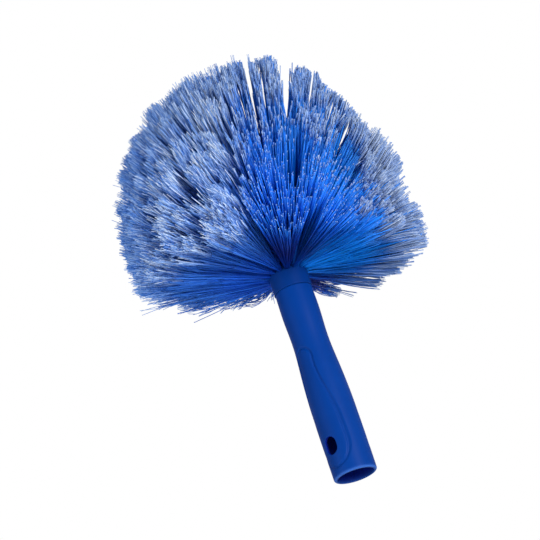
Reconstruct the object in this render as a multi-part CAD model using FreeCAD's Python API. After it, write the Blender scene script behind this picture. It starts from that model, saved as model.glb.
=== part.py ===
import FreeCAD, Part
import math
import os

# Cobweb brush: a hollow pole-socket handle, a brush block snapped onto its top, and a ball of bristle tufts
# stapled into the block. Millimetres; the origin is the centre of the socket's mouth and +Z runs up the brush.

# Driving dimensions: pole socket
pole_radius = 12.7
pole_clearance = 0.3
pole_stop_ledge = 2.5
socket_depth = 60.0
socket_wall = 2.0
mouth_round = 0.8

# Driving dimensions: handle above the socket
neck_length = 78.0
belly_swell = 0.15
waist_wall = 2.05
shoulder_swell = 0.6
seam_step = 0.45
seam_round = 0.4
throat_height = 12.0
throat_taper = 6.0

# Handle outline: the belly's height as a share of the socket's depth, the other heights as shares of the neck's
# length above the socket, and how much of the mouth's extra width is left halfway down to the waist
belly_height_share = 0.575
taper_height_share = 0.218
waist_height_share = 0.513
shoulder_height_share = 0.782
taper_width_share = 0.51

# Driving dimensions: thumb panel, a drop-shaped groove engraved on both faces of the handle
panel_bottom = 5.3
panel_length = 88.2
panel_half_width = 11.6
panel_top_half_width = 5.3
panel_side_swell = 2.0
groove_width = 1.5
groove_depth = 0.6

# Panel outline: heights where its sides meet the round ends, as shares of the panel's length
panel_lower_turn_share = 0.167
panel_upper_turn_share = 0.938

# Driving dimensions: hang hole, an oval through both walls
hang_hole_height = 21.3
hang_hole_width = 9.0
hang_hole_straight = 3.2

# Driving dimensions: spigot with its snap bead and keys
spigot_bore_step = 2.1
spigot_wall = 2.4
spigot_top_wall = 2.0
spigot_headroom = 4.0
spigot_clearance = 0.1
spigot_end_gap = 0.3
spigot_lead_in = 0.6
bead_radius = 0.6
bead_standout = 0.35
key_width = 2.4
key_depth = 1.0
key_clearance = 0.15

# Spigot outline: heights of the bead and of the keys' tops as shares of the spigot's height
bead_height_share = 0.66
key_height_share = 0.42

# Driving dimensions: brush block
collar_height = 12.0
collar_wall = 2.5

# Driving dimensions: tuft holes, tufts and the ball that the bristles are trimmed to
hole_radius = 1.3
hole_wall = 0.5
tuft_clearance = 0.1
tuft_gap_degrees = 0.6
ring_step_degrees = 21.0
ring_tuft_counts = (1, 6, 11, 15, 16)
first_azimuth_degrees = -90.0
ball_radius = 102.0
ball_rise = 49.0

# Driving dimensions: tuft anchors
anchor_thickness = 0.4
anchor_height = 1.5
anchor_lift = 0.6
anchor_clearance = 0.02

# How far every cutting shape runs past what it cuts
overrun = 2.0

# Derived sizes: handle
bore_radius = pole_radius + pole_clearance
mouth_radius = bore_radius + socket_wall
cavity_radius = bore_radius - pole_stop_ledge
waist_radius = cavity_radius + waist_wall
handle_length = socket_depth + neck_length
throat_start = handle_length - throat_height

# Derived sizes: spigot and block
spigot_bore_radius = cavity_radius - spigot_bore_step
spigot_radius = spigot_bore_radius + spigot_wall
spigot_height = collar_height - spigot_headroom
spigot_top = handle_length + spigot_height
bead_level = handle_length + bead_height_share * spigot_height
bead_half_height = math.sqrt(bead_radius**2 - (bead_radius - bead_standout) ** 2)
key_height = key_height_share * spigot_height
block_bore_radius = spigot_radius + spigot_clearance
block_radius = block_bore_radius + collar_wall
seam_radius = block_radius - seam_step
hub_height = handle_length + collar_height

origin = FreeCAD.Vector(0, 0, 0)
y_axis = FreeCAD.Vector(0, 1, 0)
z_axis = FreeCAD.Vector(0, 0, 1)
hub = FreeCAD.Vector(0, 0, hub_height)


def tuft_separation(ring, count):
    """The angle at the hub between neighbours in one ring of tufts, in degrees."""
    across = math.sin(math.radians(ring * ring_step_degrees)) * math.sin(math.pi / count)
    return 2 * math.degrees(math.asin(across))


# Derived sizes: tuft holes stop where the walls between them would get too thin, and tufts stay clear of each other
least_separation = min(
    [ring_step_degrees] + [tuft_separation(ring, count) for ring, count in enumerate(ring_tuft_counts) if ring]
)
hole_bottom = (hole_radius + hole_wall / 2) / math.sin(math.radians(least_separation / 2))
tuft_spread_degrees = (least_separation - tuft_gap_degrees) / 2
tuft_root_radius = hole_radius - tuft_clearance
anchor_corner_radius = hole_radius - anchor_clearance
anchor_half_width = math.sqrt(anchor_corner_radius**2 - (anchor_thickness / 2) ** 2)


def at(across, height):
    """A point in the XZ plane, where every outline is drawn."""
    return FreeCAD.Vector(across, 0, height)


def lines(*points):
    """Straight edges from point to point."""
    return [Part.makeLine(start, end) for start, end in zip(points, points[1:])]


def arc(start, middle, end):
    """A circular edge through three points."""
    return Part.Arc(start, middle, end).toShape()


def corner_arc(start, end, centre):
    """A quarter-round edge about a centre, from one end of the corner to the other."""
    outward = (start - centre) + (end - centre)
    middle = centre + outward.normalize() * (start - centre).Length
    return arc(start, middle, end)


def turned(edges):
    """The solid that a closed outline makes when it turns once about Z."""
    return Part.Face(Part.Wire(edges)).revolve(origin, z_axis, 360)


def bead_edges(radius):
    """The snap bead on the spigot's wall, or its seat in the block, where that wall has a given radius."""
    low = at(radius, bead_level - bead_half_height)
    crest = at(radius + bead_standout, bead_level)
    high = at(radius, bead_level + bead_half_height)
    return low, arc(low, crest, high), high


def handle_side(inset):
    """The handle's curved side from mouth to seam, moved inwards by an inset."""
    taper_radius = waist_radius + taper_width_share * (mouth_radius - waist_radius)
    points = [
        at(mouth_radius - inset, mouth_round),
        at(mouth_radius + belly_swell - inset, belly_height_share * socket_depth),
        at(taper_radius - inset, socket_depth + taper_height_share * neck_length),
        at(waist_radius - inset, socket_depth + waist_height_share * neck_length),
        at(waist_radius + shoulder_swell - inset, socket_depth + shoulder_height_share * neck_length),
        at(seam_radius - inset, handle_length - seam_round),
    ]
    side = Part.BSplineCurve()
    side.interpolate(Points=points, InitialTangent=z_axis, FinalTangent=z_axis)
    return points[0], side.toShape(), points[-1]


def handle_core():
    """A solid of the handle's outside less the groove's depth, which the groove stops at."""
    low, side, high = handle_side(groove_depth)
    ends = lines(high, at(0, high.z), at(0, low.z), low)
    return turned([side] + ends)


def handle_blank():
    """The turned handle: curved outside, pole bore with its stop, hollow neck and the spigot with its bead."""
    low, side, high = handle_side(0)
    mouth_edge = at(mouth_radius - mouth_round, 0)
    seam_edge = at(seam_radius - seam_round, handle_length)
    bead_low, bead, bead_high = bead_edges(spigot_radius)
    outside = [
        corner_arc(mouth_edge, low, at(mouth_radius - mouth_round, mouth_round)),
        side,
        corner_arc(high, seam_edge, at(seam_radius - seam_round, handle_length - seam_round)),
        *lines(seam_edge, at(spigot_radius, handle_length), bead_low),
        bead,
    ]
    spigot_end = lines(
        bead_high,
        at(spigot_radius, spigot_top - spigot_lead_in),
        at(spigot_radius - spigot_lead_in, spigot_top),
        at(0, spigot_top),
    )
    inside = lines(
        at(0, spigot_top),
        at(0, spigot_top - spigot_top_wall),
        at(spigot_bore_radius, spigot_top - spigot_top_wall),
        at(spigot_bore_radius, throat_start + throat_taper),
        at(cavity_radius, throat_start),
        at(cavity_radius, socket_depth),
        at(bore_radius, socket_depth),
        at(bore_radius, 0),
        mouth_edge,
    )
    return turned(outside + spigot_end + inside)


def through_handle(outline):
    """A prism that carries a flat outline right through the handle along Y."""
    reach = mouth_radius + belly_swell + overrun
    face = Part.Face(outline)
    face.translate(y_axis * -reach)
    return face.extrude(y_axis * (2 * reach))


def panel_outline():
    """The drop: a small round top, a large round bottom and gently swelling sides."""
    top = panel_bottom + panel_length
    lower = panel_bottom + panel_lower_turn_share * panel_length
    upper = panel_bottom + panel_upper_turn_share * panel_length
    side_width = (panel_half_width + panel_top_half_width) / 2 + panel_side_swell
    side_height = (lower + upper) / 2
    foot_left, foot_right = at(-panel_half_width, lower), at(panel_half_width, lower)
    head_left, head_right = at(-panel_top_half_width, upper), at(panel_top_half_width, upper)
    return Part.Wire(
        [
            arc(foot_left, at(0, panel_bottom), foot_right),
            arc(foot_right, at(side_width, side_height), head_right),
            arc(head_right, at(0, top), head_left),
            arc(head_left, at(-side_width, side_height), foot_left),
        ]
    )


def panel_groove():
    """The engraved line round the thumb panel, on both faces."""
    outline = panel_outline()
    outer = through_handle(outline.makeOffset2D(groove_width / 2))
    inner = through_handle(outline.makeOffset2D(-groove_width / 2))
    return outer.cut([inner, handle_core()])


def hang_hole():
    """The oval hole: two half rounds joined by straight sides."""
    half_width = hang_hole_width / 2
    upper = hang_hole_height + hang_hole_straight / 2
    lower = hang_hole_height - hang_hole_straight / 2
    outline = Part.Wire(
        [
            arc(at(half_width, upper), at(0, upper + half_width), at(-half_width, upper)),
            *lines(at(-half_width, upper), at(-half_width, lower)),
            arc(at(-half_width, lower), at(0, lower - half_width), at(half_width, lower)),
            *lines(at(half_width, lower), at(half_width, upper)),
        ]
    )
    return through_handle(outline)


def key_bar(clearance, foot):
    """A bar across the spigot along X whose two ends are the keys, or their slots with a clearance."""
    half_length = spigot_radius + key_depth + clearance
    width = key_width + 2 * clearance
    height = key_height + clearance + foot
    corner = FreeCAD.Vector(-half_length, -width / 2, handle_length - foot)
    return Part.makeBox(2 * half_length, width, height, corner)


def spigot_keys():
    """The two keys that stop the block from turning: the bar's ends, rooted in the spigot's wall."""
    hollow = Part.makeCylinder(spigot_radius - spigot_wall / 2, key_height, at(0, handle_length))
    return key_bar(0, 0).cut(hollow)


def make_handle():
    """The handle moulding with its panels, hang hole and keys."""
    return handle_blank().cut([panel_groove(), hang_hole()]).fuse(spigot_keys())


def knob_places():
    """The ring number, number in the ring, polar angle and azimuth of every tuft, ring by ring from the crown."""
    for ring, count in enumerate(ring_tuft_counts):
        for index in range(count):
            yield ring, index, ring * ring_step_degrees, first_azimuth_degrees + 360 * index / count


def on_knob(shape, polar, azimuth):
    """A copy of a shape made along +Z from the hub's centre, swung to its place on the knob."""
    placed = shape.copy()
    placed.rotate(origin, y_axis, polar)
    placed.rotate(origin, z_axis, azimuth)
    placed.translate(hub)
    return placed


def make_block():
    """The brush block: a collar that seats on the handle's seam and a round knob with a hole for each tuft."""
    ceiling = spigot_top + spigot_end_gap
    seam_edge = at(block_radius - seam_round, handle_length)
    collar_foot = at(block_radius, handle_length + seam_round)
    collar_top = at(block_radius, hub_height)
    crown = at(0, hub_height + block_radius)
    bead_low, bead_seat, bead_high = bead_edges(block_bore_radius)
    outline = [
        corner_arc(seam_edge, collar_foot, at(block_radius - seam_round, handle_length + seam_round)),
        *lines(collar_foot, collar_top),
        corner_arc(collar_top, crown, at(0, hub_height)),
        *lines(crown, at(0, ceiling), at(block_bore_radius, ceiling), bead_high),
        bead_seat,
        *lines(bead_low, at(block_bore_radius, handle_length), seam_edge),
    ]
    drill = Part.makeCylinder(hole_radius, block_radius - hole_bottom + overrun, at(0, hole_bottom))
    holes = [on_knob(drill, polar, azimuth) for _, _, polar, azimuth in knob_places()]
    return turned(outline).cut(holes + [key_bar(key_clearance, overrun)])


def anchor_blank():
    """One flat wire staple, upright in a tuft hole on +Z."""
    corner = FreeCAD.Vector(-anchor_half_width, -anchor_thickness / 2, hole_bottom + anchor_lift)
    return Part.makeBox(2 * anchor_half_width, anchor_thickness, anchor_height, corner)


def tuft_blank():
    """One tuft on +Z: a root that fills its hole round the staple, then bristles that spread as a cone."""
    reach = ball_rise + ball_radius + overrun
    spread = reach * math.tan(math.radians(tuft_spread_degrees))
    outline = lines(
        at(0, hole_bottom),
        at(tuft_root_radius, hole_bottom),
        at(tuft_root_radius, block_radius),
        at(spread, reach),
        at(0, reach),
        at(0, hole_bottom),
    )
    return turned(outline).cut(anchor_blank())


def make_tufts():
    """Every tuft in its hole, its free end trimmed to the ball, by node name."""
    blank = tuft_blank()
    ball = Part.makeSphere(ball_radius, hub + z_axis * ball_rise)
    return {
        f"tuft_ring_{ring + 1}_{index + 1:02d}": on_knob(blank, polar, azimuth).common(ball)
        for ring, index, polar, azimuth in knob_places()
    }


def make_anchors():
    """The staples of each ring of tufts, one group to a ring, by node name."""
    blank = anchor_blank()
    groups = {}
    for ring, _, polar, azimuth in knob_places():
        groups.setdefault(f"anchors_ring_{ring + 1}", []).append(on_knob(blank, polar, azimuth))
    return {name: Part.makeCompound(staples) for name, staples in groups.items()}


os.makedirs("parts", exist_ok=True)
nodes = {"handle": make_handle(), "brush_block": make_block(), **make_tufts(), **make_anchors()}
for name, shape in nodes.items():
    shape.exportStep(f"parts/{name}.step")
    print(name, shape.isValid(), len(shape.Solids), round(shape.Volume, 1))
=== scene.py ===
import math

import bpy
import numpy as np
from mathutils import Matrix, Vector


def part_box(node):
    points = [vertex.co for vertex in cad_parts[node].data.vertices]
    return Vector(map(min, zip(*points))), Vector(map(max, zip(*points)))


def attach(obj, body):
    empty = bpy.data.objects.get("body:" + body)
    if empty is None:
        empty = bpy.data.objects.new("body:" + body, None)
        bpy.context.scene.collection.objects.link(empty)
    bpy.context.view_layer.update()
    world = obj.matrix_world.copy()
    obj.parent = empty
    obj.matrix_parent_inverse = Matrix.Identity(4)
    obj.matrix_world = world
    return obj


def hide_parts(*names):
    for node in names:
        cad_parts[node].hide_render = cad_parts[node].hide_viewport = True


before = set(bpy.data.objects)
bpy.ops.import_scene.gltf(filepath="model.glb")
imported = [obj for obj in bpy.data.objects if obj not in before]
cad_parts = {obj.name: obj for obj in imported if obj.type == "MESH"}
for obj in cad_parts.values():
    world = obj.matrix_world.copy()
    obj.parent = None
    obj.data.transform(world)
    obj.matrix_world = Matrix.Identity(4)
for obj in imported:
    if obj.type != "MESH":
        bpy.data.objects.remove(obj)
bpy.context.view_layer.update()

# Handle
# A hollow moulding of satin royal-blue plastic that slips over a pole. It has a soft drop-shaped line engraved
# round the thumb panel on both faces, an oval hang hole through both walls, and a spigot that the block snaps onto.
handle_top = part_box("handle")[1].z
handle_length = 0.138
mouth_radius = 0.0150
bore_radius = 0.0130
bore_depth = 0.060
cavity_radius = 0.0105
cavity_top = 0.144
throat_radius = 0.0084
throat_bottom, throat_top = 0.126, 0.132
spigot_radius = 0.0108
mouth_round = 0.0014
seam_round = 0.0007
seam_radius = 0.01295
side_heights = np.array([0.0, 0.0345, 0.0770, 0.1000, 0.1210, handle_length])
side_radii = np.array([mouth_radius, 0.01515, 0.0138, 0.01255, 0.01315, seam_radius])
around_count = 240
opening_columns = 19
opening_bottom, opening_top = 0.0121, 0.0311
fine_step = 0.00046
coarse_step = 0.0015
panel_bottom, panel_length = 0.0063, 0.0870
panel_half_width = 0.01185
panel_height_shares = (0, 0.038, 0.100, 0.250, 0.420, 0.585, 0.759, 0.886, 0.963, 1)
panel_width_shares = (0, 0.670, 0.910, 1.0, 0.965, 0.806, 0.582, 0.520, 0.450, 0)
panel_line_points = 300
panel_line_parts = 20
groove_half_width = 0.0013
groove_depth = 0.0009
hang_hole_height = 0.0216
hang_hole_half_width = 0.0045
hang_hole_half_straight = 0.0016
hang_hole_round = 0.0006
hang_hole_wall_loops, hang_hole_wall_power = 9, 1.5
hang_hole_round_steps = 5
corner_points = 7
crease_angle = math.radians(40)
row_tolerance_share = 0.1
least_slope = 1e-9
handle_blue = (0.0008, 0.034, 0.215)
handle_deep_blue = (0.0007, 0.030, 0.195)
# Painted shade: the bore and the walls of the hang hole are coloured darker to stand in for the shade inside them.
handle_painted_shade_blue = (0.0008, 0.008, 0.150)
# Painted highlight: the rounded lip of the mouth is coloured lighter to stand in for the light that it catches.
handle_painted_highlight_blue = (0.030, 0.110, 0.420)
lip_rows_to_edge = 3
handle_roughness = 0.42
plastic_specular = 0.05
plastic_drift_scale, plastic_drift_detail = 38, 3
plastic_tint_places = (0.3, 0.7)
plastic_grain_scale = 2600
plastic_gloss_range = 0.06
plastic_bump_strength, plastic_bump_depth = 0.12, 0.0001


def smooth_curve(knots, values, at, level_ends=True):
    """The cubic curve through the knots that starts and ends level, or else with no bend: second slopes solve the
    usual three-term system, and each span is the cubic with those second slopes at its ends."""
    gap = np.diff(knots)
    slope = np.diff(values) / gap
    count = len(knots)
    system = np.zeros((count, count))
    inner = np.arange(1, count - 1)
    system[inner, inner - 1] = gap[:-1]
    system[inner, inner] = 2 * (gap[:-1] + gap[1:])
    system[inner, inner + 1] = gap[1:]
    right = 6 * np.concatenate([[slope[0]], np.diff(slope), [-slope[-1]]])
    if level_ends:
        system[0, :2] = 2 * gap[0], gap[0]
        system[-1, -2:] = gap[-1], 2 * gap[-1]
    else:
        system[0, 0] = system[-1, -1] = 1
        right[[0, -1]] = 0
    bend = np.linalg.solve(system, right)
    span = np.clip(np.searchsorted(knots, at, side="right") - 1, 0, count - 2)
    left, reach = at - knots[span], knots[span + 1] - at
    width = gap[span]
    cubic = (bend[span] * reach**3 + bend[span + 1] * left**3) / (6 * width)
    line_low = (values[span] / width - bend[span] * width / 6) * reach
    line_high = (values[span + 1] / width - bend[span + 1] * width / 6) * left
    return cubic + line_low + line_high


def panel_line():
    """The drop's outline as seen along Y: a curve through the points of one side, in steps of its own length, and
    its mirror image."""
    heights = panel_length * np.array(panel_height_shares)
    widths = panel_half_width * np.array(panel_width_shares)
    run = np.append(0, np.cumsum(np.hypot(np.diff(heights), np.diff(widths))))
    at = np.linspace(0, run[-1], panel_line_points)
    height = smooth_curve(run, heights, at)
    width = smooth_curve(run, widths, at, level_ends=False)
    return np.concatenate([np.column_stack([way * width, panel_bottom + height]) for way in (1, -1)])


def groove_drop(across, height):
    """How far the surface sinks at a point: the groove's depth on the panel's line, eased to nought beside it."""
    line = panel_line().astype(np.float32)
    points = np.column_stack([across.ravel(), height.ravel()]).astype(np.float32)
    nearest = np.full(len(points), np.inf, np.float32)
    for part in np.array_split(line, panel_line_parts):
        gaps = np.linalg.norm(points[:, None] - part[None], axis=2)
        nearest = np.minimum(nearest, gaps.min(1))
    share = np.clip(1 - nearest / groove_half_width, 0, 1)
    return (groove_depth * share * share * (3 - 2 * share)).reshape(across.shape)


def new_piece(name, points, faces, material, body="root", smooth_angle=None):
    """A mesh object at the origin from an array of points and arrays of faces with three or four corners."""
    mesh = bpy.data.meshes.new(name)
    corners = np.concatenate([f.ravel() for f in faces])
    totals = np.concatenate([np.full(len(f), f.shape[1]) for f in faces])
    mesh.vertices.add(len(points))
    mesh.vertices.foreach_set("co", np.ascontiguousarray(points, np.float32).ravel())
    mesh.loops.add(len(corners))
    mesh.loops.foreach_set("vertex_index", corners.astype(np.int32))
    mesh.polygons.add(len(totals))
    mesh.polygons.foreach_set("loop_start", (np.cumsum(totals) - totals).astype(np.int32))
    mesh.polygons.foreach_set("use_smooth", np.ones(len(totals), bool))
    mesh.update(calc_edges=True)
    mesh.validate()
    if smooth_angle is not None:
        mesh.set_sharp_from_angle(angle=smooth_angle)
    mesh.materials.append(material)
    piece = bpy.data.objects.new(name, mesh)
    bpy.context.scene.collection.objects.link(piece)
    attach(piece, body)
    return piece


def grid_faces(rows, columns, closed):
    """Quads of a grid whose points are stored row by row, with the last column joined to the first if closed."""
    row, column = np.meshgrid(np.arange(rows - 1), np.arange(columns if closed else columns - 1), indexing="ij")
    beside = (column + 1) % columns
    corners = [row * columns + column, row * columns + beside]
    corners += [(row + 1) * columns + beside, (row + 1) * columns + column]
    return np.stack(corners, axis=-1)


def rows_between(low, high, step):
    """Even heights from low up to, but not at, high, no further apart than a step."""
    return np.linspace(low, high, max(2, math.ceil((high - low) / step) + 1))[:-1]


def handle_profile():
    """The turned outline, from the spigot's top down the outside, round the lip and up the inside: radii,
    heights, and marks for the rows that carry the engraved line and for those of the pole's bore."""
    corner = np.linspace(0, np.pi / 2, corner_points)
    groove_top = panel_bottom + panel_length + groove_half_width
    fine = np.concatenate(
        [
            rows_between(mouth_round, opening_bottom, fine_step),
            rows_between(opening_bottom, opening_top, fine_step),
            rows_between(opening_top, groove_top, fine_step),
            rows_between(groove_top, handle_length - seam_round, coarse_step),
        ]
    )
    side = fine[::-1]
    seam = np.column_stack(
        [
            seam_radius - seam_round + seam_round * np.sin(corner),
            handle_length - seam_round + seam_round * np.cos(corner),
        ]
    )
    lip = np.column_stack(
        [
            mouth_radius - mouth_round + mouth_round * np.cos(corner),
            mouth_round - mouth_round * np.sin(corner),
        ]
    )[1:]
    bore = np.concatenate(
        [
            rows_between(0, opening_bottom, coarse_step),
            rows_between(opening_bottom, opening_top, fine_step),
            rows_between(opening_top, bore_depth, coarse_step),
            [bore_depth],
        ]
    )
    spigot = np.array([(0, handle_top), (spigot_radius, handle_top), (spigot_radius, handle_length)])
    inside = np.array(
        [
            (cavity_radius, bore_depth),
            (cavity_radius, throat_bottom),
            (throat_radius, throat_top),
            (throat_radius, cavity_top),
            (0, cavity_top),
        ]
    )
    outer = np.column_stack([smooth_curve(side_heights, side_radii, side), side])
    inner = np.column_stack([np.full(len(bore), bore_radius), bore])
    walls = [spigot, seam, outer, lip, inner, inside]
    engraved, bored = (np.concatenate([np.full(len(w), w is wall) for w in walls]) for wall in (outer, inner))
    return np.concatenate(walls), engraved, bored


def hole_outline(count_across, count_up):
    """The oval hang hole's edge as seen along Y, one point for each point of the opening's edge: each ray from the
    hole's centre to the opening's edge is cut where it leaves the oval."""
    across = np.linspace(-1, 1, count_across)
    up = np.linspace(-1, 1, count_up)
    edge = np.concatenate(
        [
            np.column_stack([across, -np.ones(count_across)])[:-1],
            np.column_stack([np.ones(count_up), up])[:-1],
            np.column_stack([across[::-1], np.ones(count_across)])[:-1],
            np.column_stack([-np.ones(count_up), up[::-1]])[:-1],
        ]
    )
    ray = edge * (hang_hole_half_width, hang_hole_half_width + hang_hole_half_straight)
    ray = ray / np.linalg.norm(ray, axis=1)[:, None]
    lift = hang_hole_half_straight * np.sign(ray[:, 1])
    along = lift * ray[:, 1]
    reach_round = along + np.sqrt(along**2 - lift**2 + hang_hole_half_width**2)
    reach_side = hang_hole_half_width / np.maximum(np.abs(ray[:, 0]), least_slope)
    on_side = np.abs(ray[:, 1]) * reach_side <= hang_hole_half_straight
    reach = np.where(on_side, reach_side, reach_round)
    return ray * reach[:, None] + (0, hang_hole_height)


def handle_mesh():
    """The turned walls with the engraved line, less an opening on each face, and in each opening a sleeve that runs
    from the outer opening in to the oval edge, through the wall and out to the bore's opening."""
    profile, engraved, bored = handle_profile()
    turn = -np.pi / 2 + 2 * np.pi * np.arange(around_count) / around_count
    radius = np.repeat(profile[:, :1], around_count, axis=1)
    height = np.repeat(profile[:, 1:], around_count, axis=1)
    radius[engraved] -= groove_drop(radius[engraved] * np.cos(turn), height[engraved])
    walls = np.stack([radius * np.cos(turn), radius * np.sin(turn), height], axis=-1)
    faces = grid_faces(len(profile), around_count, True)
    middle = (profile[:-1, 1] + profile[1:, 1]) / 2
    in_rows = (middle > opening_bottom) & (middle < opening_top)
    same_wall = (engraved[:-1] & engraved[1:]) | (bored[:-1] & bored[1:])
    column = np.arange(around_count)
    half = around_count // 2
    near_panel = ((column + opening_columns) % half) < 2 * opening_columns
    keep = ~((in_rows & same_wall)[:, None] & near_panel[None])
    wall_faces = faces[keep]

    tolerance = row_tolerance_share * fine_step
    open_rows = np.flatnonzero(
        engraved & (profile[:, 1] > opening_bottom - tolerance) & (profile[:, 1] < opening_top + tolerance)
    )
    open_heights = profile[open_rows, 1][::-1]
    open_turn = turn[np.arange(-opening_columns, opening_columns + 1)]
    edge = hole_outline(len(open_turn), len(open_heights))

    def opening_edge(radius_at):
        """The opening's own edge points on one wall, in the order of the oval's points."""
        low, high = radius_at(open_heights[0]), radius_at(open_heights[-1])
        sides = radius_at(open_heights)
        spread = np.cos(open_turn)
        return np.concatenate(
            [
                np.column_stack([low * spread, np.full(len(spread), open_heights[0])])[:-1],
                np.column_stack([sides * spread[-1], open_heights])[:-1],
                np.column_stack([high * spread[::-1], np.full(len(spread), open_heights[-1])])[:-1],
                np.column_stack([sides[::-1] * spread[0], open_heights[::-1]])[:-1],
            ]
        )

    def outer_wall(z):
        """The radius of the outside at a height."""
        return smooth_curve(side_heights, side_radii, z)

    def bore_wall(z):
        """The radius of the pole's bore, alike at every height."""
        return np.full(np.shape(z), bore_radius)

    spread_steps = np.linspace(1, 0, hang_hole_wall_loops) ** hang_hole_wall_power
    round_steps = np.linspace(0, np.pi / 2, hang_hole_round_steps)[1:]
    outward = edge - (0, hang_hole_height)
    outward = outward / np.linalg.norm(outward, axis=1)[:, None]
    loops = []
    for radius_at, inside in ((outer_wall, False), (bore_wall, True)):
        rim = edge + outward * hang_hole_round
        rectangle = opening_edge(radius_at)
        wall_loops = []
        for step in spread_steps:
            flat = rim + (rectangle - rim) * step
            depth = np.sqrt(radius_at(flat[:, 1]) ** 2 - flat[:, 0] ** 2)
            wall_loops.append(np.column_stack([flat[:, 0], -depth, flat[:, 1]]))
        rim_depth = np.sqrt(radius_at(rim[:, 1]) ** 2 - rim[:, 0] ** 2)
        way = 1 if inside else -1
        for angle in round_steps:
            flat = rim - outward * hang_hole_round * math.sin(angle)
            depth = rim_depth + way * hang_hole_round * (1 - math.cos(angle))
            wall_loops.append(np.column_stack([flat[:, 0], -depth, flat[:, 1]]))
        loops += wall_loops[::-1] if inside else wall_loops
    sleeve = np.stack(loops)
    sleeve_faces = grid_faces(len(loops), sleeve.shape[1], True).reshape(-1, 4)
    front = sleeve.reshape(-1, 3)
    back = front * (-1, -1, 1)
    points = np.concatenate([walls.reshape(-1, 3), front, back])
    first = walls.shape[0] * around_count
    all_faces = np.concatenate([wall_faces, sleeve_faces + first, sleeve_faces + first + len(front)])
    # Marks for the material: painted shade over the bore's wall and the inner part of the hang hole's sleeve, and a
    # painted highlight round the lip.
    lip_row = np.flatnonzero(bored)[0]
    in_wall = np.where(np.arange(len(profile)) > lip_row, 1.0, 0.0)
    in_sleeve = np.where(np.arange(len(loops)) >= len(spread_steps) + 1, 1.0, 0.0)
    on_lip = np.exp(-((np.arange(len(profile)) - lip_row + lip_rows_to_edge) / lip_rows_to_edge) ** 2)
    point_marks = {
        "painted_shade": np.concatenate(
            [np.repeat(in_wall, around_count), np.tile(np.repeat(in_sleeve, sleeve.shape[1]), 2)]
        ),
        "edge": np.concatenate([np.repeat(on_lip, around_count), np.zeros(2 * len(front))]),
    }
    return points, all_faces, point_marks


def add_marks(piece, marks):
    """Puts named values on a piece's points, for its material to read."""
    for mark_name, values in marks.items():
        attribute = piece.data.attributes.new(mark_name, "FLOAT", "POINT")
        attribute.data.foreach_set("value", values.astype(np.float32))


def node_material(name):
    """A new node material, its node tree and its shader."""
    material = bpy.data.materials.new(name)
    material.use_nodes = True
    tree = material.node_tree
    return material, tree, tree.nodes["Principled BSDF"]


def grain_pattern(tree, scale, detail=2):
    """A noise of a given scale and detail on Object coordinates."""
    place = tree.nodes.new("ShaderNodeTexCoord")
    noise = tree.nodes.new("ShaderNodeTexNoise")
    noise.inputs["Scale"].default_value = scale
    noise.inputs["Detail"].default_value = detail
    tree.links.new(place.outputs["Object"], noise.inputs["Vector"])
    return noise.outputs["Fac"]


def in_range(tree, share, low, high, start=0):
    """A share, counted from a start up to one, carried over to the range from low to high."""
    node = tree.nodes.new("ShaderNodeMapRange")
    node.inputs["From Min"].default_value = start
    node.inputs["To Min"].default_value = low
    node.inputs["To Max"].default_value = high
    tree.links.new(share, node.inputs["Value"])
    return node.outputs["Result"]


def colour_ramp(tree, share, stops):
    """The colour at a share of the way through the stops, each of which is a place and its colour."""
    node = tree.nodes.new("ShaderNodeValToRGB")
    for index, (position, colour) in enumerate(stops):
        if index > 1:
            node.color_ramp.elements.new(position)
        node.color_ramp.elements[index].position = position
        node.color_ramp.elements[index].color = (*colour, 1)
    tree.links.new(share, node.inputs["Fac"])
    return node.outputs["Color"]


def point_mark(tree, name):
    """The value that a piece's points carry under a name."""
    node = tree.nodes.new("ShaderNodeAttribute")
    node.attribute_name = name
    return node.outputs["Fac"]


def mixed_colour(tree, share, first, second):
    """The first colour with a share of the second mixed in. Each is a plain colour or comes from another node."""
    node = tree.nodes.new("ShaderNodeMix")
    node.data_type = "RGBA"
    tree.links.new(share, node.inputs["Factor"])
    for socket, colour in (("A", first), ("B", second)):
        if isinstance(colour, tuple):
            node.inputs[socket].default_value = (*colour, 1)
        else:
            tree.links.new(colour, node.inputs[socket])
    return node.outputs["Result"]


def fine_relief(tree, shader, height, strength, depth):
    """Bump on a shader's surface from a pattern of heights."""
    bump = tree.nodes.new("ShaderNodeBump")
    bump.inputs["Strength"].default_value = strength
    bump.inputs["Distance"].default_value = depth
    tree.links.new(height, bump.inputs["Height"])
    tree.links.new(bump.outputs["Normal"], shader.inputs["Normal"])


def moulded_plastic(name, colour, deep_colour, painted_shade_colour, painted_highlight_colour, roughness):
    """Satin moulded plastic: a faint drift of colour over the part, a fine spark-eroded grain in bump and gloss, a
    darker tone as painted shade and a lighter tone as a painted highlight, wherever the piece's points carry these
    marks."""
    material, tree, shader = node_material(name)
    shader.inputs["Specular IOR Level"].default_value = plastic_specular
    drift = grain_pattern(tree, plastic_drift_scale, plastic_drift_detail)
    tone = colour_ramp(tree, drift, zip(plastic_tint_places, (deep_colour, colour)))
    # Painted shade and painted highlight: the tone is darkened or lightened where the piece's points carry these
    # marks.
    for mark_name, mark_colour in (("painted_shade", painted_shade_colour), ("edge", painted_highlight_colour)):
        tone = mixed_colour(tree, point_mark(tree, mark_name), tone, mark_colour)
    grain = grain_pattern(tree, plastic_grain_scale)
    gloss = in_range(tree, grain, roughness - plastic_gloss_range, roughness + plastic_gloss_range)
    tree.links.new(tone, shader.inputs["Base Color"])
    tree.links.new(gloss, shader.inputs["Roughness"])
    fine_relief(tree, shader, grain, plastic_bump_strength, plastic_bump_depth)
    return material


handle_points, handle_faces, handle_marks = handle_mesh()
handle_plastic = moulded_plastic(
    "handle_plastic", handle_blue, handle_deep_blue, handle_painted_shade_blue, handle_painted_highlight_blue, handle_roughness
)
handle = new_piece("handle_moulding", handle_points, [handle_faces], handle_plastic, smooth_angle=crease_angle)
add_marks(handle, handle_marks)
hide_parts("handle")
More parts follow.
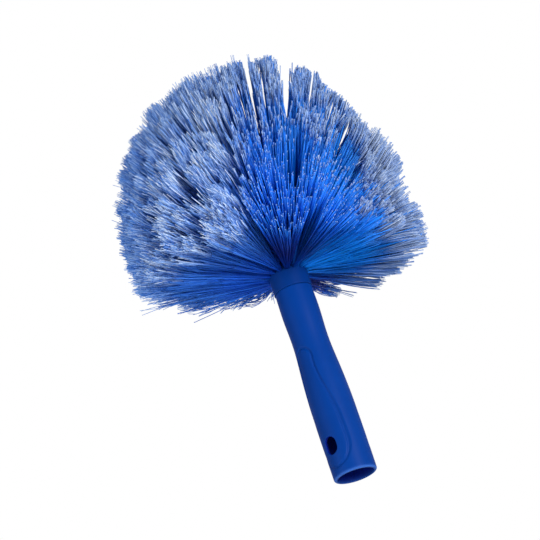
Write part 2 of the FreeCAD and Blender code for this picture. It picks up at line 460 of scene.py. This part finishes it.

# Brush block
# A collar and round knob in the same plastic, coloured a shade darker than the handle as painted shade for the
# shadow that the bristles cast on it, snapped over the handle's spigot. The knob is drilled with one hole for each
# tuft.
block_painted_shade_blue = (0.0007, 0.027, 0.17)
block_painted_shade_deep_blue = (0.0006, 0.024, 0.155)
block_roughness = 0.46
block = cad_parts["brush_block"]
block.data.materials.clear()
block_plastic = moulded_plastic(
    "block_plastic", block_painted_shade_blue, block_painted_shade_deep_blue, block_painted_shade_deep_blue, block_painted_shade_blue, block_roughness
)
block.data.materials.append(block_plastic)

# Tuft anchors
# Flat staples of drawn steel wire, one driven across the fold of each tuft at the bottom of its hole.
anchor_grey = (0.55, 0.55, 0.56)
wire_streak_scale = 4000
wire_gloss_low, wire_gloss_high = 0.25, 0.45


def drawn_wire(name, colour):
    """Bright drawn wire: fine streaks in its gloss."""
    material, tree, shader = node_material(name)
    shader.inputs["Base Color"].default_value = (*colour, 1)
    shader.inputs["Metallic"].default_value = 1
    streaks = grain_pattern(tree, wire_streak_scale)
    tree.links.new(in_range(tree, streaks, wire_gloss_low, wire_gloss_high), shader.inputs["Roughness"])
    return material


anchor_wire = drawn_wire("anchor_wire", anchor_grey)
for node_name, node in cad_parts.items():
    if node_name.startswith("anchors_"):
        node.data.materials.clear()
        node.data.materials.append(anchor_wire)

# Bristle tufts
# Blue plastic filaments, folded in half and stapled into the knob's holes. The ends gather in locks and are split
# into fine pale flags, except on the worn front, and are trimmed to a dome with a side and a corner cut off.
ring_tuft_counts = (1, 6, 11, 15, 16)
hole_step = math.radians(21)
ring_step = math.radians(19)
first_azimuth = math.radians(-90)
hub_height = 0.150
hub = np.array([0, 0, hub_height])
knob_radius = 0.0134
root_radius = 0.0093
root_spread = 0.0011
root_jitter = root_spread / 5
dome_radius = 0.1024
dome_rise = 0.0535
dome_shift = -0.0031
dome_half_width = 0.0984
flat_turn = math.radians(44)
flat_distance = 0.0915
corner_turn = math.radians(-46)
corner_distance = 0.0500
face_azimuth = math.radians(40.5)
face_elevation = math.radians(-21.35)
face_roll = math.radians(18.6)
frost_left_start, frost_left_full = 0.20, 0.42
frost_rim_start, frost_rim_full = 0.76, 0.25
frost_left_patch, frost_rim_patch = 0.05, 0.11
lock_patch_share = 0.75
frost_rim_share, frost_right_share = 0.40, 0.85
frost_right_start, frost_right_full = 0.25, 0.75
frost_behind_start, frost_behind_full = 0.1, -0.5
frizz_right, frizz_left = 0.3, -0.3
frizz_least = 0.2
frizz_right_trim_share = 0.4
# Painted light: stems that point to the upper right are tinted a brighter sky blue, standing in for light shining
# through the translucent filaments.
painted_glow_right_share, painted_glow_up_share = 0.64, 0.77
painted_glow_start, painted_glow_full = 0.35, 0.95
ashen_right_share, ashen_up_share = 0.85, 0.50
ashen_start, ashen_full = 0.1, 0.9
ashen_rising_share, ashen_behind_share = 0.6, 0.5
rising_start, rising_full = 0.5, 1.0
facing_start, facing_full = -0.2, 0.7
dusk_start, dusk_full = -0.12, 0.18
# On the underside at the right the ends split earlier, and their whiteness is lowered as painted shade.
dusk_early, dusk_painted_shade = 0.16, 0.22

# Partings on the face: where each runs in degrees, its half width, and how far from the hub it starts and ends
partings = (
    (113.0, 0.0014, 0.105, 0.120),
    (109.5, 0.0014, 0.110, 0.125),
    (105.0, 0.0018, 0.103, 0.130),
    (101.4, 0.0026, 0.096, 0.160),
    (97.6, 0.0019, 0.106, 0.136),
    (90.7, 0.0039, 0.114, 0.160),
    (83.0, 0.0020, 0.118, 0.160),
    (75.5, 0.0014, 0.102, 0.118),
    (68.2, 0.0037, 0.094, 0.106),
    (57.2, 0.0022, 0.076, 0.084),
)
parting_ease = 0.012
parting_reach = 0.006
parting_yield_least, parting_yield_most = 0.3, 1.2
locks_in_tuft = 7
filaments_in_lock = 40
filament_count = locks_in_tuft * filaments_in_lock
lock_ring_spread = math.radians(6.6)
lock_jitter = math.radians(1.3)
lock_half_width = math.radians(2.7)
lock_bulge_share = 0.35
lock_tip_round = 0.005
loose_half_width = math.radians(12.5)
loose_left_share, loose_corner_share = 0.12, 0.40
lower_natural, lower_edge, lower_ceiling = 0.05, 0.045, 0.5
lower_front_tilt, lower_right_tilt, lower_left_tilt = 0.10, 0.20, 0.11
lower_corner_drop = 0.07
lower_thinned_share, lower_thinned_lift = 0.82, 0.15
thinned_back_start, thinned_back_full = -0.3, 0.4
thinned_left_start, thinned_left_full = -0.4, 0.1
thinned_least_share, thinned_most_share = 0.4, 1.2
stray_share = 0.03
stray_bow_share = 0.3
stray_drop_share = 0.4
trim_jitter = 0.0011
lock_trim_jitter = 0.0022
filament_radius = 0.00031
flag_radius = 0.00026
stem_end_share, flag_end_share = 0.9, 0.8
flags_on_filament = 3
flag_spread = 0.0011
flag_turn_jitter = 0.5
flag_drift_least_share, flag_drift_most_share = 0.5, 1.4
flag_drift_power = 1.3
worn_spread_share = 0.25
flag_crimp = 0.00070
lock_bow = 0.0030
filament_bow = 0.0013
filament_sway = filament_bow / 2
straight_share = 0.35
flag_start_low, flag_start_high = 0.66, 0.84
flag_start_early, flag_start_front_share = 0.27, 0.5
worn_flag_share = 0.014
# Painted shade: stems that point to the front are darkened, standing in for the shade of the locks over them.
front_painted_shade_start, front_painted_shade_full, front_painted_shade_share = 0.84, 0.98, 0.75
stem_steps = np.array([0.0, 0.06, 0.25, 0.50, 0.75, 1.0])
flag_steps = np.array([0.0, 0.35, 0.70, 1.0])
tube_sides = 3
map_margin_share = 0.1
stem_map_rows, flag_map_rows = (0.02, 0.48), (0.54, 0.96)
ring_seed_step = 100
steep_share = 0.9
least_lean = 1e-6

# Paleness, whiteness and lightness of the filaments
pale_rise_worn, pale_rise_frosted = 0.02, 0.20
pale_before_share = 0.25
lock_light_share = 0.3
# Painted light: split ends that face the front or rise to the top are made whiter, standing in for the light
# falling on them from the front and above.
white_lock, facing_painted_light, rising_painted_light, white_worn = 0.10, 0.27, 0.10, 0.20
white_tip, white_flag_range, white_flag_drop = 0.16, 0.66, 0.1
white_stem = white_flag_range / 2 - white_flag_drop

# Colours of the filaments, and the stops that they run through from root to tip or from dull to white
bristle_roughness, bristle_specular = 0.45, 0.06
# Painted shade: the stem stops are darker at the root and darkest near the middle, standing in for the shade that
# the locks cast on each other near the knob.
bristle_navy, bristle_royal = (0.0010, 0.036, 0.38), (0.0006, 0.019, 0.30)
bristle_blue, bristle_bright = (0.0006, 0.090, 0.74), (0.0010, 0.195, 0.98)
bristle_painted_glow, bristle_glint = (0.003, 0.240, 0.92), (0.04, 0.30, 0.95)
bristle_dark, bristle_light = 0.5, 1.2
glint_start, glint_share = 0.7, 0.4
stem_stops = ((0.0, bristle_navy), (0.40, bristle_royal), (0.74, bristle_blue), (0.95, bristle_bright))
# Painted light: stems on the left run through these lighter blues, standing in for light falling on them from the
# left.
left_painted_light_stops = ((0.0, bristle_navy), (0.25, (0.012, 0.12, 0.76)), (0.6, (0.04, 0.21, 0.86)))
white_places = (0.0, 0.4, 0.75, 1.0)
frost_colours = ((0.03, 0.15, 0.60), (0.11, 0.28, 0.75), (0.32, 0.51, 0.90), (0.74, 0.85, 0.98))
ashen_colours = ((0.05, 0.13, 0.42), (0.16, 0.26, 0.52), (0.31, 0.40, 0.59), (0.57, 0.62, 0.69))


def unit(vectors):
    """Vectors scaled to length one."""
    return vectors / np.linalg.norm(vectors, axis=-1, keepdims=True)


def cross_directions(direction):
    """Two directions square to each given one and to each other."""
    helper = np.where(np.abs(direction[..., 2:]) < steep_share, [0.0, 0.0, 1.0], [1.0, 0.0, 0.0])
    side = unit(np.cross(helper, direction))
    return side, np.cross(direction, side)


def toward(polar, azimuth):
    """The direction at an angle from straight up, turned about the brush's axis."""
    across = math.sin(polar)
    return np.array([across * math.cos(azimuth), across * math.sin(azimuth), math.cos(polar)])


def disc(count, random):
    """Points spread evenly over a disc of radius one."""
    turn = random.uniform(0, 2 * np.pi, count)
    reach = np.sqrt(random.random(count))
    return reach[:, None] * np.column_stack([np.cos(turn), np.sin(turn)])


def smooth_step(low, high, value):
    """Nought below low, one above high, and an eased rise between."""
    share = np.clip((value - low) / (high - low), 0, 1)
    return share * share * (3 - 2 * share)


level_right = np.array([math.cos(face_azimuth), math.sin(face_azimuth), 0])
level_front = np.array([math.sin(face_azimuth), -math.cos(face_azimuth), 0])
face_back = math.cos(face_elevation) * level_front + np.array([0, 0, math.sin(face_elevation)])
level_up = np.cross(face_back, level_right)
face_right = math.cos(face_roll) * level_right - math.sin(face_roll) * level_up
face_up = math.sin(face_roll) * level_right + math.cos(face_roll) * level_up
flat_normal = math.cos(flat_turn) * face_right + math.sin(flat_turn) * face_up
corner_normal = math.cos(corner_turn) * face_right + math.sin(corner_turn) * face_up
dome_centre = dome_shift * level_right + np.array([0, 0, dome_rise])
painted_glow_direction = unit(painted_glow_right_share * face_right + painted_glow_up_share * face_up)
ashen_direction = unit(ashen_right_share * face_right + ashen_up_share * face_up)


def tube_faces(rows, tubes, first):
    """Quads of many three-sided tubes stored tube by tube and row by row, and a triangle to close each end."""
    size = rows * tube_sides
    one = grid_faces(rows, tube_sides, True).reshape(-1, 4)
    start = np.array([[0, 2, 1]])
    end = np.array([[0, 1, 2]]) + size - tube_sides
    offsets = first + size * np.arange(tubes)[:, None, None]
    quads = (one[None] + offsets).reshape(-1, 4)
    ends = (np.concatenate([start, end])[None] + offsets).reshape(-1, 3)
    return quads, ends


def tube_map(rows, columns, low, high):
    """Map places for the corners of tubes: each tube fills its column's width, its sides on top of each other, from
    a low to a high row of the map, and its ends are thin triangles past them."""
    margin = map_margin_share
    left, right = (columns + margin) / filament_count, (columns + 1 - margin) / filament_count
    steps = np.linspace(low, high, rows)
    over = (steps[1] - steps[0]) * margin
    quads = np.zeros((len(columns), rows - 1, tube_sides, 4, 2))
    quads[..., [0, 3], 0] = left[:, None, None, None]
    quads[..., [1, 2], 0] = right[:, None, None, None]
    quads[..., [0, 1], 1] = steps[None, :-1, None, None]
    quads[..., [2, 3], 1] = steps[None, 1:, None, None]
    ends = np.zeros((len(columns), 2, 3, 2))
    ends[..., 0, 0] = left[:, None]
    ends[..., 1, 0] = right[:, None]
    ends[..., 2, 0] = (left + right)[:, None] / 2
    ends[:, 0, :, 1] = low, low, low - over
    ends[:, 1, :, 1] = high, high, high + over
    return quads.reshape(-1, 2), ends.reshape(-1, 2)


def tube_points(centres, radii, side, lift):
    """Points of three-sided tubes: each centre plus its radius times the cross directions at thirds of a turn."""
    turn = 2 * np.pi * np.arange(tube_sides) / tube_sides
    ring = np.cos(turn)[:, None] * side[:, None, None] + np.sin(turn)[:, None] * lift[:, None, None]
    return centres[:, :, None] + radii[None, :, None, None] * ring


def dome_length(direction):
    """How far a bristle reaches from the hub in a direction before it leaves the dome: a half ball above its centre
    and a straight skirt below, both a little narrower from side to side."""
    narrowing = dome_radius / dome_half_width - 1
    stretched = direction + narrowing * (direction @ level_right)[:, None] * level_right
    along, size = stretched @ dome_centre, (stretched**2).sum(1)
    in_ball = (along + np.sqrt(along**2 + size * (dome_radius**2 - dome_centre @ dome_centre))) / size
    out = np.linalg.norm(stretched[:, :2], axis=1)
    across = stretched[:, :2] @ dome_centre[:2] / out
    in_skirt = (across + np.sqrt(across**2 + dome_radius**2 - dome_shift**2)) / out
    return np.where(in_ball * direction[:, 2] < dome_rise, in_skirt, in_ball)


def cut_length(direction, normal, distance):
    """How far a bristle reaches in a direction before it meets a flat cut at a distance from the hub."""
    return distance / np.maximum(direction @ normal, least_lean)


def parted(places, tips, yielding):
    """Places pushed sideways, as seen on the face, out of the slit of each parting and on to the side that their
    filament's tip lies on, each filament by its own share. A slit opens and closes over a short way at its ends."""
    right, up = places @ face_right, places @ face_up
    reach, turn = np.hypot(right, up), np.arctan2(up, right)
    tip_turn = np.arctan2(tips @ face_up, tips @ face_right)[:, None]
    shift = np.zeros(reach.shape)
    for angle, widest, start, end in partings:
        half_width = widest * yielding[:, None]
        tip_side = np.sign(tip_turn - math.radians(angle))
        out = tip_side * (turn - math.radians(angle)) * reach
        opened = smooth_step(start - parting_ease, start, reach) * smooth_step(-end - parting_ease, -end, -reach)
        push = half_width * np.exp(-np.maximum(out, 0) / (2 * half_width)) - np.minimum(out, 0)
        shift += np.where(out > -parting_reach, opened * tip_side * push, 0)
    way = np.cos(turn)[..., None] * face_up - np.sin(turn)[..., None] * face_right
    return places + shift[..., None] * way


def worn_zones(direction, patchy):
    """How far a bristle belongs to the left, to the rim and to the side behind, which the front's wear has spared.
    The wear is patchy, so each bristle is moved in or out a little first."""
    facing = direction @ face_back
    left = smooth_step(frost_left_start, frost_left_full, frost_left_patch * patchy - direction @ face_right)
    rim = smooth_step(-frost_rim_start, -frost_rim_full, frost_rim_patch * patchy - facing)
    behind = smooth_step(-frost_behind_start, -frost_behind_full, -facing)
    return left, rim, behind


def lifted(direction, stray, random):
    """Directions below a ceiling spread evenly down to the lower edge, which tilts down to the front and to the
    right. Behind at the left, some are lifted further, and strays are lifted less."""
    right, front = direction @ level_right, direction @ level_front
    side_tilt = np.where(right > 0, lower_right_tilt, lower_left_tilt)
    edge = lower_edge - lower_front_tilt * front - side_tilt * right
    edge = edge - lower_corner_drop * np.maximum(right, 0) * np.maximum(-front, 0)
    at_back = smooth_step(thinned_back_start, thinned_back_full, -front)
    at_left = smooth_step(thinned_left_start, thinned_left_full, -right)
    thinned = random.random(len(edge)) < lower_thinned_share * at_back * at_left
    lift = lower_thinned_lift * random.uniform(thinned_least_share, thinned_most_share, len(edge))
    edge = edge + lift * thinned
    height = direction[:, 2]
    share = (height - lower_natural) / (lower_ceiling - lower_natural)
    swept = np.where(share < 1, edge + share * (lower_ceiling - edge), height)
    swept = np.where(stray, swept - stray_drop_share * np.maximum(swept - height, 0), swept)
    return unit(np.column_stack([direction[:, :2], swept]))


def tuft_mesh(hole, axis, side, lift, random):
    """The filaments of one tuft. Each runs from its hole to a tip whose direction is the tuft's, plus its lock's
    offset, plus its own. It bows with its lock and by itself, and splits into flags that drift apart."""
    lock_turn = 2 * np.pi * np.arange(locks_in_tuft) / (locks_in_tuft - 1)
    lock_reach = lock_ring_spread * (np.arange(locks_in_tuft) > 0)
    lock_place = lock_reach[:, None] * np.column_stack([np.cos(lock_turn), np.sin(lock_turn)])
    lock_place += random.normal(0, lock_jitter, lock_place.shape)
    lock_of = np.repeat(np.arange(locks_in_tuft), filaments_in_lock)
    in_lock = disc(filament_count, random)
    locked = lock_place[lock_of] + lock_half_width * in_lock
    loose = loose_half_width * disc(filament_count, random)
    patchy = lock_patch_share * random.normal(0, 1, locks_in_tuft)[lock_of]
    patchy += (1 - lock_patch_share) * random.normal(0, 1, filament_count)
    left, rim, behind = worn_zones(unit(axis + locked[:, :1] * side + locked[:, 1:] * lift), patchy)
    tuft_right = smooth_step(frost_right_start, frost_right_full, axis @ face_right)
    tuft_left = smooth_step(-frizz_right, -frizz_left, -(axis @ face_right))
    loose_share = np.maximum(loose_left_share * tuft_left, loose_corner_share * tuft_right * behind)
    gather = np.maximum(np.maximum(left, rim), behind) * (random.random(filament_count) > loose_share)
    place = loose + (locked - loose) * gather[:, None]
    stray = random.random(filament_count) < stray_share
    direction = lifted(unit(axis + place[:, :1] * side + place[:, 1:] * lift), stray, random)
    left, rim, behind = worn_zones(direction, patchy)
    on_right = smooth_step(frost_right_start, frost_right_full, direction @ face_right)
    rim = rim * (frost_rim_share + (frost_right_share - frost_rim_share) * on_right)
    frost = np.maximum(np.maximum(left, rim), behind) * ~stray
    frizz = frizz_least + (1 - frizz_least) * smooth_step(-frizz_right, -frizz_left, -(direction @ face_right))
    natural = np.minimum(dome_length(direction), cut_length(direction, corner_normal, corner_distance))
    flat = cut_length(direction, flat_normal, flat_distance + dome_centre @ flat_normal)
    length = np.minimum(natural, flat)
    length += random.normal(0, trim_jitter, filament_count)
    length += random.normal(0, lock_trim_jitter, locks_in_tuft)[lock_of] * (1 + frizz_right_trim_share * on_right)
    length -= lock_tip_round * frizz * gather * (in_lock**2).sum(1)
    kept = length / natural
    root_place = root_spread * place / np.abs(place).max() + random.normal(0, root_jitter, place.shape)
    root = hole * root_radius + root_place[:, :1] * side + root_place[:, 1:] * lift
    mouth = root + hole * (knob_radius - root_radius)
    tip = direction * length[:, None]

    bulge = lock_bulge_share * lock_half_width * in_lock * (gather * length)[:, None]
    lock_way = random.normal(0, lock_bow, (locks_in_tuft, 2))[lock_of]
    supple = np.where(stray, stray_bow_share, 1)[:, None]
    supple = supple * (straight_share + (1 - straight_share) * gather[:, None])
    own_way = supple * (random.normal(0, filament_bow, (filament_count, 2)) + lock_way + bulge)
    sway = supple * random.normal(0, filament_sway, (filament_count, 2))

    def path(share):
        """Points at shares of the way from the hole's mouth to the tip, one row for each filament."""
        bow = (np.sin(np.pi * share) * share)[..., None] * own_way[:, None]
        bow += np.sin(2 * np.pi * share)[..., None] * sway[:, None]
        straight = mouth[:, None] + (tip - mouth)[:, None] * share[..., None]
        return straight + bow[..., :1] * side + bow[..., 1:] * lift

    dusk = on_right * smooth_step(dusk_start, dusk_full, -(direction @ face_up))
    early = flag_start_early * np.maximum(behind, flag_start_front_share) * on_right + dusk_early * dusk
    yielding = random.uniform(parting_yield_least, parting_yield_most, filament_count)
    full_start = random.uniform(flag_start_low, flag_start_high, filament_count) - early
    worn_start = kept - worn_flag_share
    start = np.minimum(worn_start + (full_start - worn_start) * frost, worn_start)
    start_share = start / kept
    stem_share = stem_steps[None, 1:] * start_share[:, None]
    stem = np.concatenate([root[:, None], parted(path(stem_share), tip, yielding)], axis=1)
    across, over = cross_directions(direction)
    spin = random.uniform(0, 2 * np.pi, filament_count)[:, None]
    across, over = across * np.cos(spin) + over * np.sin(spin), over * np.cos(spin) - across * np.sin(spin)
    stem_radii = filament_radius * np.linspace(1, stem_end_share, len(stem_steps))
    stem_points = tube_points(stem, stem_radii, across, over)

    flag_share = start_share[:, None] + (1 - start_share)[:, None] * flag_steps
    trunk = path(flag_share)
    spread = flag_spread * (worn_spread_share + (1 - worn_spread_share) * frost * frizz)[:, None]
    crimp = flag_crimp * (frost * frizz)[:, None, None]
    flag_radii = flag_radius * np.linspace(1, flag_end_share, len(flag_steps))
    flags = []
    for flag in range(flags_on_filament):
        turn = spin + 2 * np.pi * flag / flags_on_filament
        turn = turn + random.normal(0, flag_turn_jitter, (filament_count, 1))
        way = across * np.cos(turn) + over * np.sin(turn)
        own_drift = random.uniform(flag_drift_least_share, flag_drift_most_share, (filament_count, 1))
        drift = spread * own_drift * flag_steps**flag_drift_power
        steps = random.normal(0, 1, (filament_count, len(flag_steps), 2)) * crimp * (flag_steps > 0)[:, None]
        wander = np.cumsum(steps, axis=1)
        centres = trunk + drift[..., None] * way[:, None]
        centres += wander[..., :1] * across[:, None] + wander[..., 1:] * over[:, None]
        flags.append(tube_points(parted(centres, tip, yielding), flag_radii, across, over))
    points = np.concatenate([stem_points.reshape(-1, 3)] + [f.reshape(-1, 3) for f in flags]) + hub

    rise = pale_rise_worn + pale_rise_frosted * frost[:, None]
    lock_tone = random.random(locks_in_tuft)[lock_of]
    light = lock_light_share * lock_tone + (1 - lock_light_share) * random.random(filament_count)
    # Painted shade: darker for stems that point to the front.
    light *= 1 - front_painted_shade_share * smooth_step(front_painted_shade_start, front_painted_shade_full, direction @ face_back)
    # Painted light: the glow of light shining through, strongest toward the upper right.
    painted_glow = smooth_step(painted_glow_start, painted_glow_full, direction @ painted_glow_direction)
    rising = smooth_step(rising_start, rising_full, direction @ face_up)
    facing = smooth_step(facing_start, facing_full, direction @ face_back)
    ashen = smooth_step(ashen_start, ashen_full, direction @ ashen_direction)
    ashen = np.maximum(ashen, ashen_rising_share * rising) * (1 - ashen_behind_share * behind)
    # Painted light: whiter for split ends that face the front or rise to the top.
    white = white_lock * lock_tone + (facing_painted_light * facing + rising_painted_light * rising) * frost
    # Painted shade: less white on the underside at the right.
    white += white_worn * (1 - frost) - dusk_painted_shade * dusk
    stem_along = np.column_stack([np.zeros(filament_count), stem_share]) * kept[:, None]
    flag_along = flag_share * kept[:, None]
    flag_edge = start[:, None]
    edge_low, edge_high = flag_edge - pale_before_share * rise, flag_edge + (1 - pale_before_share) * rise
    pale_most = np.where(stray, 0, 1)[:, None]

    def on_points(stem_values, flag_values):
        """Values for the rows of the stems and of each flag, repeated for each point of the rows."""
        parts = [stem_values + 0 * stem_along] + [f + 0 * flag_along for f in flag_values]
        return np.concatenate([np.repeat(p, tube_sides) for p in parts])

    def alike(values):
        """The same value along a filament's stem and flags."""
        return on_points(values[:, None], [values[:, None]] * flags_on_filament)

    paler = white[:, None] + white_tip * flag_steps * frost[:, None] - white_flag_drop
    own_white = [white_flag_range * random.random((filament_count, 1)) for _ in range(flags_on_filament)]
    stem_pale = pale_most * smooth_step(edge_low, edge_high, stem_along)
    flag_pale = pale_most * smooth_step(edge_low, edge_high, flag_along)
    marks = {
        "along": on_points(stem_along, [flag_along] * flags_on_filament),
        "pale": on_points(stem_pale, [flag_pale] * flags_on_filament),
        "white": on_points(white[:, None] + white_stem, [paler + own for own in own_white]),
        "light": alike(light),
        "painted_glow": alike(painted_glow),
        "left_painted_light": alike(left),
        "ashen": alike(ashen),
    }
    return points, marks


def flagged_filament(name):
    """Blue filament that pales to frosted blue or to ashen grey where its end is split. Its stem is darker at the
    root and middle as painted shade, lighter on the left and bright sky blue at the upper right as painted light,
    and each is a little lighter or darker than the next, with painted shade on those that point to the front and a
    painted glint on the lightest."""
    material, tree, shader = node_material(name)
    shader.inputs["Roughness"].default_value = bristle_roughness
    shader.inputs["Specular IOR Level"].default_value = bristle_specular
    along, light, white = (point_mark(tree, mark_name) for mark_name in ("along", "light", "white"))
    painted_glow, left_painted_light, ashen, pale = (point_mark(tree, mark_name) for mark_name in ("painted_glow", "left_painted_light", "ashen", "pale"))
    stem = mixed_colour(tree, painted_glow, colour_ramp(tree, along, stem_stops), bristle_painted_glow)
    # Painted light: lighter stems on the left.
    stem = mixed_colour(tree, left_painted_light, stem, colour_ramp(tree, along, left_painted_light_stops))
    shade = tree.nodes.new("ShaderNodeHueSaturation")
    tree.links.new(in_range(tree, light, bristle_dark, bristle_light), shade.inputs["Value"])
    tree.links.new(stem, shade.inputs["Color"])
    # Painted highlight: the lightest stems get a pale glint mixed into their colour.
    glint = in_range(tree, light, 0, glint_share, glint_start)
    stem = mixed_colour(tree, glint, shade.outputs["Color"], bristle_glint)
    frosted_end = colour_ramp(tree, white, zip(white_places, frost_colours))
    ashen_end = colour_ramp(tree, white, zip(white_places, ashen_colours))
    split_end = mixed_colour(tree, ashen, frosted_end, ashen_end)
    tree.links.new(mixed_colour(tree, pale, stem, split_end), shader.inputs["Base Color"])
    return material


bristle = flagged_filament("flagged_bristle")
flag_count = filament_count * flags_on_filament
stem_size = filament_count * len(stem_steps) * tube_sides
stem_quads, stem_ends = tube_faces(len(stem_steps), filament_count, 0)
flag_quads, flag_ends = tube_faces(len(flag_steps), flag_count, stem_size)
tuft_faces = [np.concatenate([stem_quads, flag_quads]), np.concatenate([stem_ends, flag_ends])]
stem_columns = np.arange(filament_count)
flag_columns = np.tile(stem_columns, flags_on_filament)
stem_map, stem_end_map = tube_map(len(stem_steps), stem_columns, *stem_map_rows)
flag_map, flag_end_map = tube_map(len(flag_steps), flag_columns, *flag_map_rows)
tuft_map = np.concatenate([stem_map, flag_map, stem_end_map, flag_end_map]).astype(np.float32)
for ring, tuft_count in enumerate(ring_tuft_counts):
    for index in range(tuft_count):
        polar = ring * ring_step
        azimuth = first_azimuth + 2 * math.pi * index / tuft_count
        hole = toward(ring * hole_step, azimuth)
        axis, down = toward(polar, azimuth), toward(polar + math.pi / 2, azimuth)
        random = np.random.default_rng(ring_seed_step * ring + index)
        tuft_points, tuft_marks = tuft_mesh(hole, axis, down, np.cross(axis, down), random)
        node_name = f"tuft_ring_{ring + 1}_{index + 1:02d}"
        tuft = new_piece(f"bristles_{ring + 1}_{index + 1:02d}", tuft_points, tuft_faces, bristle)
        add_marks(tuft, tuft_marks)
        tuft.data.uv_layers.new(name="OFBake").data.foreach_set("uv", tuft_map.ravel())
        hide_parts(node_name)

# Floor, light and camera
# A plain pale floor well below the brush, which is held up by its pole, soft white studio light all round, and the
# camera a little below the brush so that it looks into the socket's mouth.
floor_level = -0.75
floor_half_size = 6.0
floor_glow = 0.42
paint_roughness = 0.7
paint_drift_scale, paint_roller_scale = 3, 400
paint_stops = ((0, (0.86, 0.86, 0.86)), (1, (0.92, 0.92, 0.92)))
paint_bump_strength, paint_bump_depth = 0.1, 0.0003
white_light = (1, 1, 1, 1)
studio_strength, backdrop_strength = 0.42, 1.0
camera_distance = 1.8
frame_pixels = 540
sensor_width = 36.0
metres_per_pixel = 0.000684
hub_pixel = np.array([288.2, 275.6])
centre_pixel = np.array([270.0, 270.0])

# Soft lights: how far each stands to the right, up and back from the ball's middle, its size and its power
soft_lights = {
    "key_light": (0.8, 0.55, 1.25, 0.6, 28),
    "left_light": (-1.3, -0.4, 0.9, 1.0, 12),
    "back_light": (-0.2, 0.9, -1.4, 1.2, 14),
}

scene = bpy.context.scene
scene.view_settings.view_transform = "Standard"
world = bpy.data.worlds.new("studio")
scene.world = world
world.use_nodes = True
world_nodes, world_links = world.node_tree.nodes, world.node_tree.links
studio_light = world_nodes["Background"]
studio_light.inputs["Color"].default_value = white_light
studio_light.inputs["Strength"].default_value = studio_strength
white_backdrop = world_nodes.new("ShaderNodeBackground")
white_backdrop.inputs["Color"].default_value = white_light
white_backdrop.inputs["Strength"].default_value = backdrop_strength
light_path = world_nodes.new("ShaderNodeLightPath")
mix = world_nodes.new("ShaderNodeMixShader")
world_links.new(light_path.outputs["Is Camera Ray"], mix.inputs["Fac"])
world_links.new(studio_light.outputs["Background"], mix.inputs[1])
world_links.new(white_backdrop.outputs["Background"], mix.inputs[2])
world_links.new(mix.outputs["Shader"], world_nodes["World Output"].inputs["Surface"])


def stand(name, data, right, up, back, place):
    """Puts a camera or a light at a place, with its own three axes along the given directions."""
    matrix = np.eye(4)
    matrix[:3, :3] = np.column_stack([right, up, back])
    matrix[:3, 3] = place
    thing = bpy.data.objects.new(name, data)
    scene.collection.objects.link(thing)
    thing.matrix_world = matrix.T.tolist()
    return thing


def soft_light(name, right, up, back, size, power):
    """A square soft light that faces the ball's middle, placed in metres to the camera's right, up and back."""
    data = bpy.data.lights.new(name, "AREA")
    data.size = size
    data.energy = power
    reach = right * face_right + up * face_up + back * face_back
    way = unit(reach)
    stand(name, data, *cross_directions(way), way, hub + dome_centre + reach)


def pale_paint(name):
    """Matt off-white paint: a faint drift of its tone, a fine roller texture, and a glow that only the camera
    sees, so that the floor looks pale without lighting the brush from below."""
    material, tree, shader = node_material(name)
    shader.inputs["Roughness"].default_value = paint_roughness
    tint = colour_ramp(tree, grain_pattern(tree, paint_drift_scale), paint_stops)
    tree.links.new(tint, shader.inputs["Base Color"])
    fine_relief(tree, shader, grain_pattern(tree, paint_roller_scale), paint_bump_strength, paint_bump_depth)
    seen = tree.nodes.new("ShaderNodeLightPath")
    shader.inputs["Emission Color"].default_value = white_light
    glow = in_range(tree, seen.outputs["Is Camera Ray"], 0, floor_glow)
    tree.links.new(glow, shader.inputs["Emission Strength"])
    return material


offset = (centre_pixel - hub_pixel) * metres_per_pixel
target = hub + offset[0] * face_right - offset[1] * face_up
camera_data = bpy.data.cameras.new("camera")
camera_data.sensor_width = sensor_width
camera_data.lens = sensor_width * camera_distance / (frame_pixels * metres_per_pixel)
camera_place = target + camera_distance * face_back
scene.camera = stand("camera", camera_data, face_right, face_up, face_back, camera_place)
for light_name, light_place in soft_lights.items():
    soft_light(light_name, *light_place)

floor_corners = np.array([(-1, -1), (1, -1), (1, 1), (-1, 1)]) * floor_half_size
floor_mesh = bpy.data.meshes.new("floor")
floor_mesh.from_pydata([(x, y, floor_level) for x, y in floor_corners], [], [(0, 1, 2, 3)])
floor_mesh.materials.append(pale_paint("pale_floor"))
floor = bpy.data.objects.new("floor", floor_mesh)
scene.collection.objects.link(floor)
